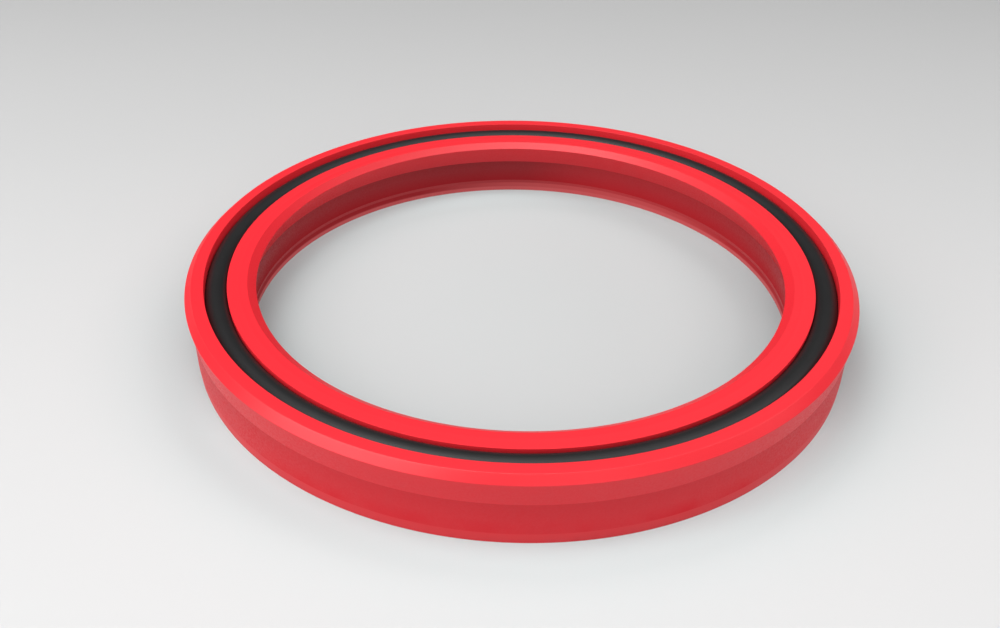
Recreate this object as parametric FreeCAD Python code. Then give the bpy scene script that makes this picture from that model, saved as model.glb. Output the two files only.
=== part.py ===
import FreeCAD, Part
import math
import os

# Ring-loaded lip seal: a red elastomer ring with two lips, and a black O-ring that presses them apart.
# Millimetres, +Z up. The origin is on the axis, at the level of the flat heel that the seal rests on.
# Heights are measured up from the heel, and depths down from the rim, the top of the outer lip.

# Heel, the solid base of the section
bore_diameter = 83.66
section_width = 8.16
overall_height = 11.0
foot_height = 1.6
foot_draft = 0.09
bore_bevel_height = 0.6

# Outer lip
outer_lip_flare = 0.57
outer_lip_root_depth = 4.54
outer_bevel_width = 1.06
outer_bevel_depth = 1.0

# Inner lip, shorter than the outer one and bent further into the bore
inner_lip_drop = 0.74
inner_lip_flare = 1.67
inner_lip_thickness = 2.57
inner_lip_root_depth = 4.92
inner_bevel_width = 1.25
inner_bevel_depth = 0.82

# O-ring and the round pocket that it snaps into through a slightly narrower mouth
ring_section = 3.53
ring_top_depth = 0.56
mouth_grip = 0.23
ring_clearance = 0.05

# Radii and heights that follow from the sizes above
bore_radius = bore_diameter / 2
heel_radius = bore_radius + section_width
outer_tip_radius = heel_radius + outer_lip_flare
inner_tip_radius = bore_radius - inner_lip_flare
mouth_width = ring_section - mouth_grip
mouth_inner_radius = bore_radius + inner_lip_thickness
mouth_outer_radius = mouth_inner_radius + mouth_width
pocket_radius = ring_section / 2 + ring_clearance
pocket_centre_radius = (mouth_inner_radius + mouth_outer_radius) / 2
pocket_centre_height = overall_height - ring_top_depth - ring_section / 2
pocket_throat_height = pocket_centre_height + math.sqrt(pocket_radius ** 2 - (mouth_width / 2) ** 2)
inner_rim_height = overall_height - inner_lip_drop


def point(radius, height):
    """A point of the half section, which lies in the XZ plane."""
    return FreeCAD.Vector(radius, 0, height)


def outer_side():
    """The outside of the section, from the heel up over the rim to the mouth."""
    return [
        point(heel_radius - foot_draft, 0),
        point(heel_radius, foot_height),
        point(heel_radius, overall_height - outer_lip_root_depth),
        point(outer_tip_radius, overall_height - outer_bevel_depth),
        point(outer_tip_radius - outer_bevel_width, overall_height),
        point(mouth_outer_radius, overall_height),
        point(mouth_outer_radius, pocket_throat_height),
    ]


def inner_side():
    """The inside of the section, from the mouth over the inner lip and down the bore to the heel."""
    return [
        point(mouth_inner_radius, pocket_throat_height),
        point(mouth_inner_radius, inner_rim_height),
        point(inner_tip_radius + inner_bevel_width, inner_rim_height),
        point(inner_tip_radius, inner_rim_height - inner_bevel_depth),
        point(bore_radius, overall_height - inner_lip_root_depth),
        point(bore_radius, foot_height + bore_bevel_height),
        point(bore_radius + foot_draft, foot_height),
        point(bore_radius + foot_draft, 0),
    ]


def pocket_arc():
    """The round pocket under the mouth, from its outer edge through the bottom to its inner edge."""
    bottom = point(pocket_centre_radius, pocket_centre_height - pocket_radius)
    return Part.Arc(outer_side()[-1], bottom, inner_side()[0]).toShape()


def revolve(edges):
    """A closed outline of the half section, turned once round the axis."""
    face = Part.Face(Part.Wire(edges))
    return face.revolve(FreeCAD.Vector(0, 0, 0), FreeCAD.Vector(0, 0, 1), 360)


def make_seal_body():
    """The elastomer ring, moulded in one piece."""
    outer = outer_side()
    inner = inner_side()
    edges = Part.makePolygon(outer).Edges
    edges.append(pocket_arc())
    edges.extend(Part.makePolygon(inner + outer[:1]).Edges)
    return revolve(edges)


def make_energizer_ring():
    """The O-ring, seated in the pocket with a small clearance all round."""
    centre = FreeCAD.Vector(0, 0, pocket_centre_height)
    return Part.makeTorus(pocket_centre_radius, ring_section / 2, centre, FreeCAD.Vector(0, 0, 1))


sub_parts = {
    "seal_body": make_seal_body(),
    "energizer_ring": make_energizer_ring(),
}

os.makedirs("parts", exist_ok=True)
for name, shape in sub_parts.items():
    solid = shape.Solids[0]
    print(name, "valid", solid.isValid(), "volume", round(solid.Volume, 2))
    solid.exportStep("parts/" + name + ".step")
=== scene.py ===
import math

import bpy
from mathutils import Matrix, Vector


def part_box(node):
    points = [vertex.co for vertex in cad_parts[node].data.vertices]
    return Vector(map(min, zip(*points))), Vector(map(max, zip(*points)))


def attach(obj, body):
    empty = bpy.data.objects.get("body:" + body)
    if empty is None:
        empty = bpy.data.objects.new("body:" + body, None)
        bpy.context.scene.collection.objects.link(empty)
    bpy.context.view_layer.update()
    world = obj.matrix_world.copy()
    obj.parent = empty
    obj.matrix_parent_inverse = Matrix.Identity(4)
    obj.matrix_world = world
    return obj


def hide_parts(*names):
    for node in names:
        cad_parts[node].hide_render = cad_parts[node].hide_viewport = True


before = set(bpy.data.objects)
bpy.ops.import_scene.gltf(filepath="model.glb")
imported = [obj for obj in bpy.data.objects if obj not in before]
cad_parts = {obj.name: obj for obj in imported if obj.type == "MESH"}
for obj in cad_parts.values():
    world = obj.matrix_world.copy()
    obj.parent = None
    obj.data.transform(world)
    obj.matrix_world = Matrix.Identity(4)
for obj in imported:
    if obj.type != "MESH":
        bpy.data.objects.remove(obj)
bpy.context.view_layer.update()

# A red lip seal with a black O-ring snapped into the groove between its lips, lying on its heel
# on a pale floor. Metres, +Z up, the origin on the axis at the level of the heel. Heights go up
# from the heel, and radii out from the axis.

MM = 0.001
seal_low, seal_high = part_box("seal_body")
ring_low, ring_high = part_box("energizer_ring")

# The section of the seal, from its own box and the same steps that its solid has
RIM_HEIGHT = seal_high.z
OUTER_TIP = seal_high.x
OUTER_BEVEL_WIDTH = 1.06 * MM
OUTER_BEVEL_DEPTH = 1.0 * MM
OUTER_LIP_ROOT = RIM_HEIGHT - 4.54 * MM
HEEL_RADIUS = OUTER_TIP - 0.57 * MM
BORE_RADIUS = HEEL_RADIUS - 8.16 * MM
INNER_TIP = BORE_RADIUS - 1.67 * MM
INNER_RIM_HEIGHT = RIM_HEIGHT - 0.74 * MM
INNER_BEVEL_WIDTH = 1.25 * MM
INNER_BEVEL_DEPTH = 0.82 * MM
INNER_LIP_ROOT = RIM_HEIGHT - 4.92 * MM
MOUTH_INNER = BORE_RADIUS + 2.57 * MM
MOUTH_OUTER = MOUTH_INNER + 3.30 * MM
FOOT_HEIGHT = 1.6 * MM
FOOT_DRAFT = 0.09 * MM
BORE_BEVEL_TOP = FOOT_HEIGHT + 0.6 * MM
HEEL_STRIP_HEIGHT = 0.75 * MM
EDGE_ROUNDING = 0.05 * MM

# The O-ring and its pocket, from the O-ring's box
RING_WIRE = (ring_high.z - ring_low.z) / 2
RING_CENTRE_HEIGHT = (ring_high.z + ring_low.z) / 2
RING_CENTRE_RADIUS = ring_high.x - RING_WIRE
POCKET_RADIUS = RING_WIRE + 0.05 * MM
RIDGE_HALF_WIDTH = 0.08 * MM
RIDGE_HEIGHT = 0.03 * MM

# How finely round forms are divided
TURNS_AROUND = 384
POCKET_STEPS = 30
WIRE_STEPS = 48

FLOOR_REACH = 6.0
FLOOR_EDGE_HEIGHT = 0.31


# Modelling


def deselect_all():
    bpy.ops.object.select_all(action="DESELECT")


def start_editing(name):
    """The primitive just added, named and open in edit mode, with everything in it selected."""
    piece = bpy.context.object
    piece.name = name
    piece.data.name = name
    bpy.ops.object.mode_set(mode="EDIT")
    bpy.ops.mesh.select_all(action="SELECT")
    return piece


def finish_mesh(merge_distance):
    """Merges what lies in the same place, turns every face outwards and leaves edit mode."""
    bpy.ops.mesh.select_all(action="SELECT")
    bpy.ops.mesh.remove_doubles(threshold=merge_distance)
    bpy.ops.mesh.normals_make_consistent(inside=False)
    bpy.ops.object.mode_set(mode="OBJECT")


def round_edges(piece, width, segments, sharper_than):
    """Rounds every edge that turns by more than so many degrees."""
    bevel = piece.modifiers.new("rounded_edges", "BEVEL")
    bevel.width = width
    bevel.segments = segments
    bevel.limit_method = "ANGLE"
    bevel.angle_limit = math.radians(sharper_than)
    bpy.context.view_layer.objects.active = piece
    bpy.ops.object.modifier_apply(modifier=bevel.name)


def smooth(piece):
    """Smooth shading in which wide bands keep their own normals and only rounded edges blend."""
    deselect_all()
    piece.select_set(True)
    bpy.context.view_layer.objects.active = piece
    bpy.ops.object.shade_smooth()
    weighting = piece.modifiers.new("weighting", "WEIGHTED_NORMAL")
    weighting.mode = "FACE_AREA"
    weighting.weight = 100
    weighting.keep_sharp = True
    bpy.ops.object.modifier_apply(modifier=weighting.name)
    piece.select_set(False)


def seal_section():
    """Radius and height of each corner: up the outside, round the pocket and down the inside."""
    outside = [
        (HEEL_RADIUS - FOOT_DRAFT, 0),
        (HEEL_RADIUS, FOOT_HEIGHT),
        (HEEL_RADIUS, OUTER_LIP_ROOT),
        (OUTER_TIP, RIM_HEIGHT - OUTER_BEVEL_DEPTH),
        (OUTER_TIP - OUTER_BEVEL_WIDTH, RIM_HEIGHT),
        (MOUTH_OUTER, RIM_HEIGHT),
    ]
    throat = math.asin((MOUTH_OUTER - MOUTH_INNER) / 2 / POCKET_RADIUS)
    pocket = []
    for step in range(POCKET_STEPS + 1):
        angle = throat + (2 * math.pi - 2 * throat) * step / POCKET_STEPS
        radius = RING_CENTRE_RADIUS + POCKET_RADIUS * math.sin(angle)
        pocket.append((radius, RING_CENTRE_HEIGHT + POCKET_RADIUS * math.cos(angle)))
    inside = [
        (MOUTH_INNER, INNER_RIM_HEIGHT),
        (INNER_TIP + INNER_BEVEL_WIDTH, INNER_RIM_HEIGHT),
        (INNER_TIP, INNER_RIM_HEIGHT - INNER_BEVEL_DEPTH),
        (BORE_RADIUS, INNER_LIP_ROOT),
        (BORE_RADIUS, BORE_BEVEL_TOP),
        (BORE_RADIUS + FOOT_DRAFT, FOOT_HEIGHT),
        (BORE_RADIUS + FOOT_DRAFT, 0),
    ]
    return outside + pocket + inside


def carry_ring_along(section):
    """Extrudes the selected ring of edges from corner to corner, and closes it on the first."""
    radius, height = section[0]
    for next_radius, next_height in section[1:] + section[:1]:
        rise = (0, 0, next_height - height)
        bpy.ops.mesh.extrude_edges_move(TRANSFORM_OT_translate={"value": rise})
        growth = next_radius / radius
        bpy.ops.transform.resize(value=(growth, growth, 1), center_override=(0, 0, 0))
        radius, height = next_radius, next_height


def make_seal():
    """The elastomer ring: a circle at the heel's outer edge, carried once round the section."""
    section = seal_section()
    radius, height = section[0]
    deselect_all()
    bpy.ops.mesh.primitive_circle_add(
        vertices=TURNS_AROUND, radius=radius, location=(0, 0, height)
    )
    seal = start_editing("moulded_seal")
    carry_ring_along(section)
    finish_mesh(merge_distance=0.005 * MM)
    round_edges(seal, EDGE_ROUNDING, segments=2, sharper_than=7)
    smooth(seal)
    return seal


def select_equator(piece, sides):
    """Selects the points at mid height: the outer ones if sides holds True, the inner if False."""
    bpy.ops.mesh.select_all(action="DESELECT")
    bpy.ops.object.mode_set(mode="OBJECT")
    for vertex in piece.data.vertices:
        level = abs(vertex.co.z - RING_CENTRE_HEIGHT) < 0.001 * MM
        vertex.select = level and (vertex.co.xy.length > RING_CENTRE_RADIUS) in sides
    bpy.ops.object.mode_set(mode="EDIT")


def make_o_ring():
    """The O-ring: a torus with the thin ridges that a mould leaves round its inside and outside."""
    deselect_all()
    bpy.ops.mesh.primitive_torus_add(
        major_segments=TURNS_AROUND,
        minor_segments=WIRE_STEPS,
        major_radius=RING_CENTRE_RADIUS,
        minor_radius=RING_WIRE,
        location=(0, 0, RING_CENTRE_HEIGHT),
    )
    bpy.ops.object.transform_apply(location=True, rotation=True, scale=True)
    o_ring = start_editing("o_ring")
    bpy.ops.mesh.select_mode(type="EDGE")
    select_equator(o_ring, sides=(True, False))
    bpy.ops.mesh.bevel(offset=RIDGE_HALF_WIDTH, segments=2, affect="EDGES")
    bpy.ops.mesh.select_mode(type="VERT")
    for outer, lift in ((True, RIDGE_HEIGHT), (False, -RIDGE_HEIGHT)):
        select_equator(o_ring, sides=(outer,))
        growth = 1 + lift / RING_CENTRE_RADIUS
        bpy.ops.transform.resize(value=(growth, growth, 1), center_override=(0, 0, 0))
    finish_mesh(merge_distance=0.002 * MM)
    smooth(o_ring)
    return o_ring


def make_floor():
    """A wide round floor whose edge turns up, so that low side views end in the same pale grey."""
    deselect_all()
    bpy.ops.mesh.primitive_circle_add(vertices=96, radius=FLOOR_REACH, fill_type="NGON")
    floor = start_editing("floor")
    bpy.ops.mesh.region_to_loop()
    bpy.ops.mesh.extrude_edges_move(TRANSFORM_OT_translate={"value": (0, 0, FLOOR_EDGE_HEIGHT)})
    bpy.ops.object.mode_set(mode="OBJECT")
    return floor


# Node materials


class Socket:
    """A socket of a material, which arithmetic extends with Math nodes."""

    def __init__(self, material, socket):
        self.material = material
        self.socket = socket

    def _math(self, operation, first, second):
        return self.material.node("ShaderNodeMath", {"operation": operation}, {0: first, 1: second})

    def __add__(self, other):
        return self._math("ADD", self, other)

    def __radd__(self, other):
        return self._math("ADD", other, self)

    def __sub__(self, other):
        return self._math("SUBTRACT", self, other)

    def __rsub__(self, other):
        return self._math("SUBTRACT", other, self)

    def __mul__(self, other):
        return self._math("MULTIPLY", self, other)

    def __rmul__(self, other):
        return self._math("MULTIPLY", other, self)


class Material:
    """A node material with a Principled shader."""

    def __init__(self, name):
        self.data = bpy.data.materials.new(name)
        self.data.use_nodes = True
        self.tree = self.data.node_tree
        self.shader = self.tree.nodes["Principled BSDF"]

    def node(self, kind, settings=None, inputs=None, output=0):
        """A new node with its settings made first and then the values or links of its sockets."""
        made = self.tree.nodes.new(kind)
        for key, value in (settings or {}).items():
            setattr(made, key, value)
        for key, value in (inputs or {}).items():
            self._feed(made.inputs[key], value)
        return Socket(self, made.outputs[output])

    def _feed(self, socket, value):
        if isinstance(value, Socket):
            self.tree.links.new(value.socket, socket)
        else:
            socket.default_value = value

    def set(self, **values):
        """Sets or links the shader's own sockets, named with underscores for spaces."""
        for name, value in values.items():
            self._feed(self.shader.inputs[name.replace("_", " ")], value)

    def place(self):
        """Object coordinates, in metres."""
        return self.node("ShaderNodeTexCoord", output="Object")

    def axis(self, name):
        """Distance along one axis of the object, in metres."""
        return self.node("ShaderNodeSeparateXYZ", inputs={0: self.place()}, output=name)

    def radius(self):
        """Distance from the axis, in metres."""
        factors = {0: self.place(), 1: (1, 1, 0)}
        flat = self.node("ShaderNodeVectorMath", {"operation": "MULTIPLY"}, factors)
        return self.node("ShaderNodeVectorMath", {"operation": "LENGTH"}, {0: flat}, output="Value")

    def noise(self, size, detail):
        """Noise whose blobs are about that size in metres, from 0 to 1."""
        inputs = {"Vector": self.place(), "Scale": 1 / size, "Detail": detail}
        return self.node("ShaderNodeTexNoise", inputs=inputs, output="Fac")

    def fade(self, value, start, end):
        """Goes from 0 at the start to 1 at the end, and stays there."""
        inputs = {"Value": value, "From Min": start, "From Max": end}
        return self.node("ShaderNodeMapRange", inputs=inputs)

    def past(self, value, edge, blur=0.04 * MM):
        """0 before an edge and 1 past it, with a blur on either side."""
        return self.fade(value, edge - blur, edge + blur)

    def band(self, value, start, full, fall, end):
        """Goes from 0 at the start up to 1 at full, and from the fall back down to 0 at the end."""
        return self.fade(value, start, full) * (1 - self.fade(value, fall, end))

    def mix(self, factor, first, second):
        """One colour going over into another."""
        inputs = {0: factor, 6: first, 7: second}
        return self.node("ShaderNodeMix", {"data_type": "RGBA"}, inputs, output=2)

    def bump(self, height, distance, strength):
        """A normal that follows a height from 0 to 1 over a real distance."""
        inputs = {"Height": height, "Distance": distance, "Strength": strength}
        return self.node("ShaderNodeBump", inputs=inputs, output="Normal")


# The seal's material


class SealSurface:
    """Where a point of the seal lies, with masks that are 1 on one zone of it and 0 elsewhere."""

    def __init__(self, m):
        self.across = m.axis("X")
        self.depth = m.axis("Y")
        self.height = m.axis("Z")
        self.radius = m.radius()

        self.bore = 1 - m.fade(self.radius, BORE_RADIUS + 0.6 * MM, BORE_RADIUS + 1.0 * MM)
        self.outside = m.fade(self.radius, HEEL_RADIUS - 0.5 * MM, HEEL_RADIUS - 0.2 * MM)
        self.over_foot = m.past(self.height, FOOT_HEIGHT, blur=0.03 * MM)
        self.over_bore_bevel = m.fade(
            self.height, BORE_BEVEL_TOP - 0.05 * MM, BORE_BEVEL_TOP + 0.02 * MM
        )
        on_inner_lip = m.past(self.height, INNER_LIP_ROOT)
        under_outer_lip = 1 - m.past(self.height, OUTER_LIP_ROOT)

        self.inner_lip = self.bore * on_inner_lip
        self.bore_wall = self.bore * (1 - on_inner_lip)
        self.bore_bevel = self.bore * self.over_foot * (1 - self.over_bore_bevel)
        self.outer_wall = self.outside * self.over_foot * under_outer_lip
        self.outer_foot = self.outside * (1 - self.over_foot)

        # The bore's foot has a pale strip of painted light at the heel, and above that strip it is
        # painted paler at the back, also as painted light
        bore_foot = self.bore * (1 - self.over_foot)
        self.heel_strip = self.bore * (1 - m.past(self.height, HEEL_STRIP_HEIGHT, blur=0.15 * MM))
        painted_light_back = bore_foot * m.fade(0.34 * self.across + 0.94 * self.depth, 30 * MM, 40 * MM)
        self.painted_light_foot = painted_light_back * (1 - self.heel_strip)
        self.dull_foot = bore_foot * (1 - self.heel_strip) * (1 - painted_light_back)

        self.inner_bevel = 1 - m.past(self.radius, INNER_TIP + INNER_BEVEL_WIDTH)
        self.inner_bevel *= m.past(self.height, INNER_RIM_HEIGHT - INNER_BEVEL_DEPTH)
        outer_edge = m.past(self.radius, OUTER_TIP - OUTER_BEVEL_WIDTH)
        self.outer_bevel = outer_edge * m.past(self.height, RIM_HEIGHT - OUTER_BEVEL_DEPTH)
        on_top = m.fade(self.height, INNER_RIM_HEIGHT - 0.05 * MM, INNER_RIM_HEIGHT - 0.02 * MM)
        self.flats = on_top * (1 - outer_edge)
        self.groove = m.band(
            self.radius,
            MOUTH_INNER - 0.10 * MM,
            MOUTH_INNER - 0.04 * MM,
            MOUTH_OUTER + 0.04 * MM,
            MOUTH_OUTER + 0.10 * MM,
        )
        self.grained = (self.bore + self.outside) * self.over_foot
        self.grained *= 1 - m.fade(self.height, RIM_HEIGHT - 1.75 * MM, RIM_HEIGHT - 1.0 * MM)
        self.back_right = m.fade(0.77 * self.across + 0.64 * self.depth, -45 * MM, 45 * MM)


def wall_gloss(m, s):
    """The coat's weight by zone: less in the groove, on the bore's foot and low on the walls."""
    blotch = m.fade(m.noise(8 * MM, 2.0), 0.45, 0.62)
    in_front = 1 - m.fade(s.depth, -46 * MM, -28 * MM)
    low_in_bore = s.over_bore_bevel * s.bore
    low_in_bore *= 1 - m.fade(s.height, BORE_BEVEL_TOP, BORE_BEVEL_TOP + 2.4 * MM)
    low_in_front = s.over_foot * s.outside * in_front
    low_in_front *= 1 - m.fade(s.height, FOOT_HEIGHT, FOOT_HEIGHT + 2.2 * MM)
    gloss = 0.70 - 0.21 * s.bore - 0.105 * s.outside - 0.105 * s.outer_wall
    gloss *= 1 - 0.8 * low_in_bore - low_in_front * (0.15 + 0.7 * blotch)
    return gloss * (1 - 0.4 * s.groove) * (1 - 0.4 * s.dull_foot) + 0.2 * s.heel_strip


def bevel_gloss(m, s):
    """How much more or less coat the two bevels and the flats have from place to place."""
    behind = m.fade(s.depth, -15 * MM, 15 * MM)
    outer = 0.5 * m.band(s.across, -32 * MM, -12 * MM, 2 * MM, 14 * MM)
    outer -= 0.55 * m.band(s.across, 10 * MM, 22 * MM, 27 * MM, 36 * MM)
    outer += 0.5 * m.band(s.across, 38 * MM, 43 * MM, 44 * MM, 48 * MM)
    outer = outer * (1 - behind) - 0.55 * (1 - m.fade(s.across, -49 * MM, -46 * MM))
    inner = 0.5 * m.fade(s.across, -24 * MM, -10 * MM) * behind
    inner *= 1 - 0.8 * m.fade(s.across, 0, 28 * MM)
    return s.outer_bevel * outer + s.inner_bevel * inner - 0.35 * s.flats * (1 - s.back_right)


def seal_red(m, s):
    """The seal's red, with painted shade on the walls, the inner lip and the inner bevel, and
    painted light in the groove, on the feet and on the flats at the back right.
    """
    mottle = m.noise(9 * MM, 3.0)
    even_red = m.mix(mottle, (0.755, 0.0245, 0.0355, 1), (0.775, 0.0265, 0.0375, 1))

    # Painted shade: the outer wall darker higher up, the bore's wall darker by about half, more so
    # higher up, less on its right and more in its middle, the inner lip's face darker near its
    # root, and the inner bevel darker on its left
    up_outside = m.fade(s.height, FOOT_HEIGHT, OUTER_LIP_ROOT)
    up_bore = m.fade(s.height, FOOT_HEIGHT, INNER_LIP_ROOT)
    up_lip = m.fade(s.height, INNER_LIP_ROOT, INNER_RIM_HEIGHT - 1.5 * MM)
    right = m.fade(s.across, 3 * MM, 18 * MM)
    middle = m.band(s.across, -22 * MM, -8 * MM, 2 * MM, 12 * MM)
    painted_shade = s.outer_wall * (0.05 + 0.14 * up_outside)
    painted_shade += s.bore_wall * (0.52 + 0.07 * up_bore - 0.12 * right + 0.05 * middle)
    painted_shade += 0.09 * s.inner_lip * (1 - up_lip)
    painted_shade += s.inner_bevel * (0.14 - 0.11 * m.fade(s.across, -15 * MM, 38 * MM))

    # Painted light: the groove's walls get a lighter red, most on its outer half, but not at the
    # rim
    outer_half = m.fade(s.radius, RING_CENTRE_RADIUS, RING_CENTRE_RADIUS + 0.5 * MM)
    groove = s.groove * (0.6 + 0.4 * outer_half)
    groove *= 1 - m.fade(s.height, RIM_HEIGHT - 0.2 * MM, RIM_HEIGHT - 0.1 * MM)

    # Painted light and sheen: a paler red on the bore's bevel strip, on the bore's foot at the back
    # and at the heel, and on the flats at the back right
    painted_light = 0.2 * s.bore_bevel + 0.55 * s.painted_light_foot + 0.9 * s.heel_strip
    painted_light += 0.07 * s.flats * s.back_right

    red = m.mix(groove, even_red, (0.95, 0.028, 0.040, 1))
    red = m.mix(painted_shade, red, (0.0, 0.004, 0.005, 1))
    # Painted light: the outer foot's red is paler
    red = m.mix(s.outer_foot, red, (0.755, 0.032, 0.042, 1))
    return m.mix(painted_light, red, (0.64, 0.100, 0.105, 1))


def red_polyurethane():
    """Cast polyurethane, satin, with a fine grain on its walls that shows most at the sides."""
    m = Material("red_polyurethane")
    s = SealSurface(m)
    grain = m.fade(m.noise(0.30 * MM, 2.0), 0.3, 0.7) * s.grained
    to_sides = m.fade(s.across * s.across, (18 * MM) ** 2, (40 * MM) ** 2)
    grained_gloss = 1 + (grain - 0.5 * s.grained) * (0.3 + 0.5 * to_sides)
    m.set(
        Base_Color=seal_red(m, s),
        Roughness=0.55 + 0.10 * grain,
        Specular_IOR_Level=0.0,
        Coat_Weight=wall_gloss(m, s) * (1 + bevel_gloss(m, s)) * grained_gloss,
        Coat_Roughness=0.31,
        Coat_IOR=1.5,
        Normal=m.bump(grain, 0.020 * MM, 0.6),
    )
    return m.data


# The O-ring's and the floor's materials


def black_nitrile():
    """Moulded nitrile rubber, near black with a soft sheen."""
    m = Material("black_nitrile")
    mottle = m.noise(3 * MM, 3.0)
    grain = m.noise(0.2 * MM, 2.0)
    m.set(
        Base_Color=m.mix(mottle, (0.0145, 0.0145, 0.015, 1), (0.0185, 0.0185, 0.019, 1)),
        Roughness=0.34 + 0.10 * grain,
        IOR=1.5,
        Specular_IOR_Level=0.24,
        Normal=m.bump(grain, 0.01 * MM, 0.4),
    )
    return m.data


def pale_floor():
    """The studio's matt floor: a neutral grey with painted light and shade, lighter in front of the
    seal than in it and behind, darker far behind, and lighter close to the seal's walls, inside and
    out, where painted light fills in their shadows.

    Where red light from the seal falls on it, its own red is lower, so that it stays as neutral as
    the rest. Far away, where the lights no longer reach, it glows by itself, so that it stays pale
    in low side views.
    """
    m = Material("pale_floor")
    radius = m.radius()
    across = m.axis("X")
    depth = m.axis("Y")
    black = (0, 0, 0, 1)
    in_bore = 1 - m.fade(radius, RING_CENTRE_RADIUS - 1 * MM, RING_CENTRE_RADIUS + 1 * MM)

    # Painted light close to the outer wall, more on the right, filling in the shadow there; painted
    # light in front, painted shade far behind and a little painted light far to the left
    painted_light_by_wall = (1 - m.fade(radius, 50 * MM, 56 * MM)) * (1 - m.fade(depth, -30 * MM, -5 * MM))
    painted_light_by_wall *= painted_light_by_wall * (0.18 + 0.12 * m.fade(across, 10 * MM, 35 * MM))
    front = 1 - m.fade(depth, -60 * MM, 60 * MM)
    far = m.fade(depth, 60 * MM, 260 * MM)
    far_left = 1 - m.fade(across, -160 * MM, -30 * MM)
    outside_grey = 0.491 + 0.10 * front - 0.115 * far + 0.016 * far_left + painted_light_by_wall

    # Painted light close to the bore's wall at the back, more at the back left, and a little on the
    # left of the bore
    painted_light_by_bore = m.fade(radius, 35 * MM, 42 * MM)
    back_left = m.fade(depth, 0, 30 * MM) * (1 - m.fade(across, -10 * MM, 15 * MM))
    painted_light_by_bore *= (0.18 * painted_light_by_bore + 0.10 * back_left) * m.fade(depth, 0, 20 * MM)
    left = 1 - m.fade(across, -35 * MM, 15 * MM)
    bore_grey = 0.488 + 0.03 * left + painted_light_by_bore
    level = in_bore * bore_grey + (1 - in_bore) * outside_grey + 0.006 * m.noise(60 * MM, 2.0)

    near = (1 - in_bore) * (1 - m.fade(radius, 50 * MM, 85 * MM))
    near += in_bore * m.fade(radius, 12 * MM, 42 * MM)
    lit_side = 1 - m.fade(depth, 0, 60 * MM)
    lit_side *= 0.92 + 0.08 * m.fade(depth, -55 * MM, -25 * MM)
    lit_side = (1 - in_bore) * lit_side + in_bore
    red_light = near * near * near * near * (0.215 * lit_side - 0.02 * in_bore) + 0.019 * in_bore

    grey = m.mix(level, black, (1, 1, 1, 1))
    less_red = m.mix(level, black, (0, 1, 1, 1))

    glow = m.fade(radius + 0.15 * depth, 440 * MM, 800 * MM)
    glow *= 1 - 0.4 * m.fade(m.axis("Z"), 0, 3 * MM)
    m.set(
        Base_Color=m.mix(red_light, grey, less_red),
        Roughness=0.9,
        Specular_IOR_Level=0.0,
        Emission_Color=m.mix(glow, black, (0.64, 0.64, 0.64, 1)),
        Emission_Strength=1.0,
    )
    return m.data


# The object

seal = make_seal()
seal.data.materials.append(red_polyurethane())
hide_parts("seal_body")
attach(seal, "root")

o_ring = make_o_ring()
o_ring.data.materials.append(black_nitrile())
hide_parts("energizer_ring")
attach(o_ring, "root")

# The floor, light and camera

floor = make_floor()
floor.data.materials.append(pale_floor())

LIGHT_DISTANCE = 0.65
CAMERA_PLACE = (-6.388 * MM, -139.69 * MM, 94.99 * MM)
CAMERA_DIP = 34.366
CAMERA_LENS = 37.945
CAMERA_SHIFT = (0.0222, 0.0005)


def add_to_scene(name, data):
    thing = bpy.data.objects.new(name, data)
    bpy.context.collection.objects.link(thing)
    return thing


def soft_light(name, azimuth, elevation, width, height, power):
    """A rectangular area light, LIGHT_DISTANCE from the seal and turned to face it."""
    data = bpy.data.lights.new(name, "AREA")
    data.shape = "RECTANGLE"
    data.size = width
    data.size_y = height
    data.energy = power
    light = add_to_scene(name, data)
    turn = math.radians(azimuth)
    rise = math.radians(elevation)
    level = math.cos(rise)
    direction = Vector((math.cos(turn) * level, math.sin(turn) * level, math.sin(rise)))
    light.location = direction * LIGHT_DISTANCE
    light.rotation_mode = "QUATERNION"
    light.rotation_quaternion = direction.to_track_quat("Z", "Y")


# Azimuth and elevation in degrees, width and height in metres, power in watts
soft_light("key_left", 213, 53, 0.44, 0.34, 1.14)
soft_light("top_left", 180, 66, 0.34, 0.34, 0.75)
soft_light("top", 226, 80, 0.40, 0.34, 1.50)
soft_light("top_right", 345, 68, 0.34, 0.34, 0.50)
soft_light("top_back", 90, 72, 0.80, 0.50, 1.25)
soft_light("right", 2, 46, 0.36, 0.36, 0.92)
soft_light("left", 178, 40, 0.34, 0.34, 0.35)
soft_light("low_left", 206, 27, 0.44, 0.30, 1.22)
soft_light("low_front", 290, 28, 0.44, 0.30, 0.78)
soft_light("low_right", 334, 27, 0.50, 0.30, 0.42)

world = bpy.data.worlds.new("studio")
world.use_nodes = True
world.node_tree.nodes["Background"].inputs["Strength"].default_value = 0.0
bpy.context.scene.world = world

camera_data = bpy.data.cameras.new("camera")
camera_data.sensor_width = 36
camera_data.lens = CAMERA_LENS
camera_data.shift_x, camera_data.shift_y = CAMERA_SHIFT
camera_data.clip_start = 0.005
camera_data.clip_end = 20
camera = add_to_scene("camera", camera_data)
camera.location = CAMERA_PLACE
camera.rotation_euler = (math.radians(90 - CAMERA_DIP), 0, 0)
bpy.context.scene.camera = camera

bpy.context.scene.view_settings.view_transform = "Standard"
bpy.context.scene.view_settings.look = "None"
